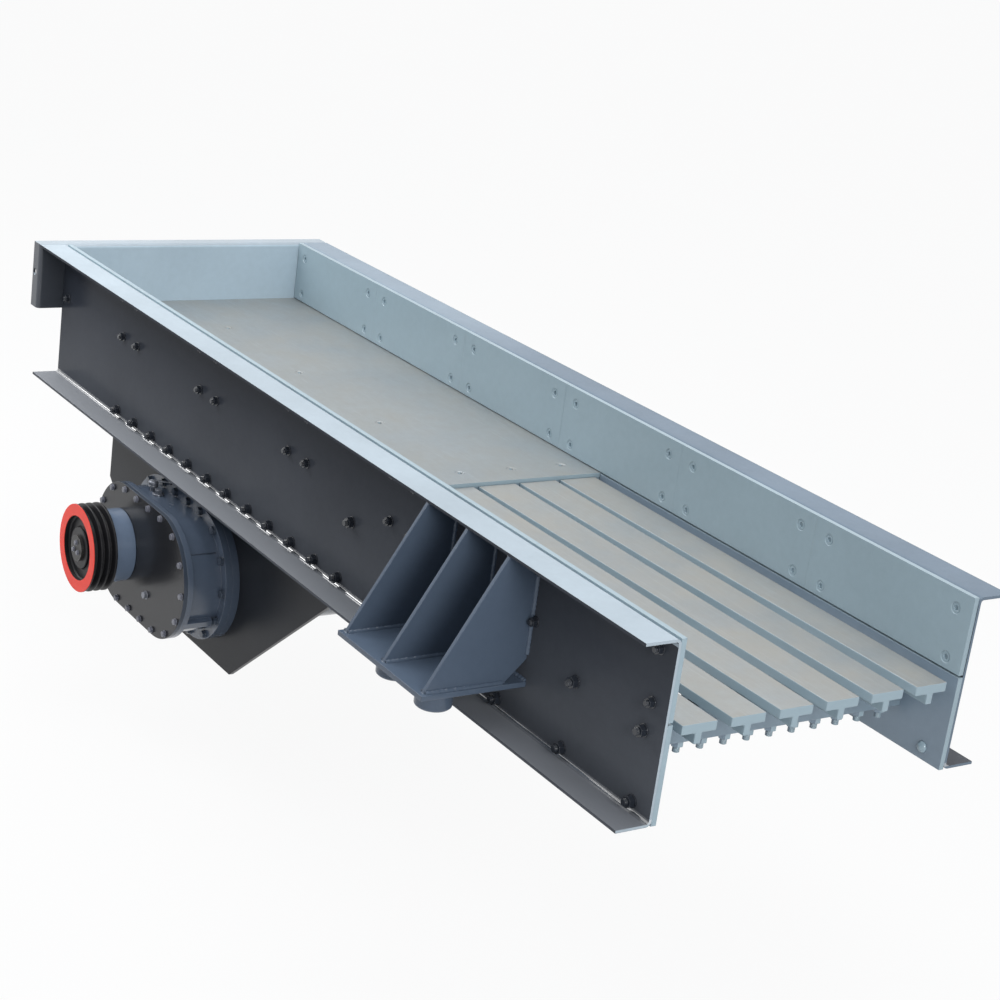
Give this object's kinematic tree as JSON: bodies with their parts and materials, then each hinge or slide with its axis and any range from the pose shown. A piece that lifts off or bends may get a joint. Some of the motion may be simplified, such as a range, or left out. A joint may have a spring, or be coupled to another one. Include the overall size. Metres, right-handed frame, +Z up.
{
  "type": "linear vibratory feeder",
  "caption": "Long open trough with side liners, flat deck and tapered grizzly bars, shaken by a geared eccentric exciter hung on plates below, on round spring seats.",
  "frame": {"origin": "centre of the rectangle of the four front spring seats, in the plane where the springs bear on the brackets", "axes": "+X along the trough towards its discharge end, +Y across it, away from the sheave's side, +Z up"},
  "size_m": [3.86, 1.685, 1.068],
  "materials": {
    "side_paint": "semi-gloss paint",
    "wall_paint": "semi-gloss paint",
    "liner_paint": "paint worn by stone",
    "frame_paint": "paint",
    "bracket_paint": "semi-gloss paint",
    "seat_paint": "semi-gloss paint",
    "case_paint": "semi-gloss paint",
    "cover_paint": "semi-gloss paint",
    "housing_paint": "semi-gloss paint",
    "worn_deck": "worn by stone",
    "worn_bar": "worn by stone",
    "machined_steel": "machined, oiled",
    "sheave_black": "painted black, red front ring",
    "hub_steel": "dark",
    "dark_bolt": "blackened",
    "plug_steel": "zinc",
    "seal_rubber": "matt"
  },
  "bodies": {
    "frame": {"left_side_plate": "side_paint", "right_side_plate": "side_paint", "rear_wall": "wall_paint", "left_liner_1": "liner_paint", "left_liner_2": "liner_paint", "left_liner_3": "liner_paint", "left_liner_4": "liner_paint", "left_liner_5": "liner_paint", "left_liner_6": "liner_paint", "right_liner_1": "liner_paint", "right_liner_2": "liner_paint", "right_liner_3": "liner_paint", "right_liner_4": "liner_paint", "right_liner_5": "liner_paint", "right_liner_6": "liner_paint", "left_lower_plate": "liner_paint", "right_lower_plate": "liner_paint", "deck_pan": "frame_paint", "deck_wear_plate": "worn_deck", "grizzly_bar_1": "worn_bar", "grizzly_bar_2": "worn_bar", "grizzly_bar_3": "worn_bar", "grizzly_bar_4": "worn_bar", "grizzly_bar_5": "worn_bar", "grizzly_bar_6": "worn_bar", "front_cross_beam": "frame_paint", "middle_cross_beam": "frame_paint", "rear_cross_beam": "frame_paint", "rear_support_beam": "frame_paint", "left_spring_bracket": "bracket_paint", "right_spring_bracket": "bracket_paint", "left_seat_plate": "seat_paint", "right_seat_plate": "seat_paint", "exciter_tube": "case_paint", "left_bearing_carrier": "case_paint", "right_bearing_carrier": "case_paint", "drive_bearing_left": "machined_steel", "drive_bearing_right": "machined_steel", "driven_bearing_left": "machined_steel", "driven_bearing_right": "machined_steel", "gear_case": "case_paint", "gear_case_cover": "cover_paint", "right_end_cover": "cover_paint", "seal_housing": "housing_paint", "shaft_seal": "seal_rubber", "oil_plugs": "plug_steel", "liner_bolts": "dark_bolt", "deck_bolts": "worn_deck", "frame_bolts": "dark_bolt", "grizzly_studs": "plug_steel", "cover_bolts": "dark_bolt", "carrier_bolts": "dark_bolt"},
    "drive": {"drive_shaft": "machined_steel", "drive_gear": "machined_steel", "sheave": "sheave_black", "shaft_end_plate": "hub_steel", "end_plate_bolts": "plug_steel", "drive_keys": "machined_steel"},
    "driven": {"driven_shaft": "machined_steel", "driven_gear": "machined_steel"}
  },
  "joints": [
    {"name": "drive_spin", "type": "hinge", "parent": "frame", "child": "drive", "pos_m": [-1.923, 0, -0.394], "axis": [0, 1, 0], "continuous": true},
    {"name": "driven_spin", "type": "hinge", "parent": "frame", "child": "driven", "pos_m": [-1.636, 0, -0.394], "axis": [0, 1, 0], "continuous": true}
  ],
  "couplings": [
    {"joint": "driven_spin", "follows": "drive_spin", "ratio": -1}
  ]
}
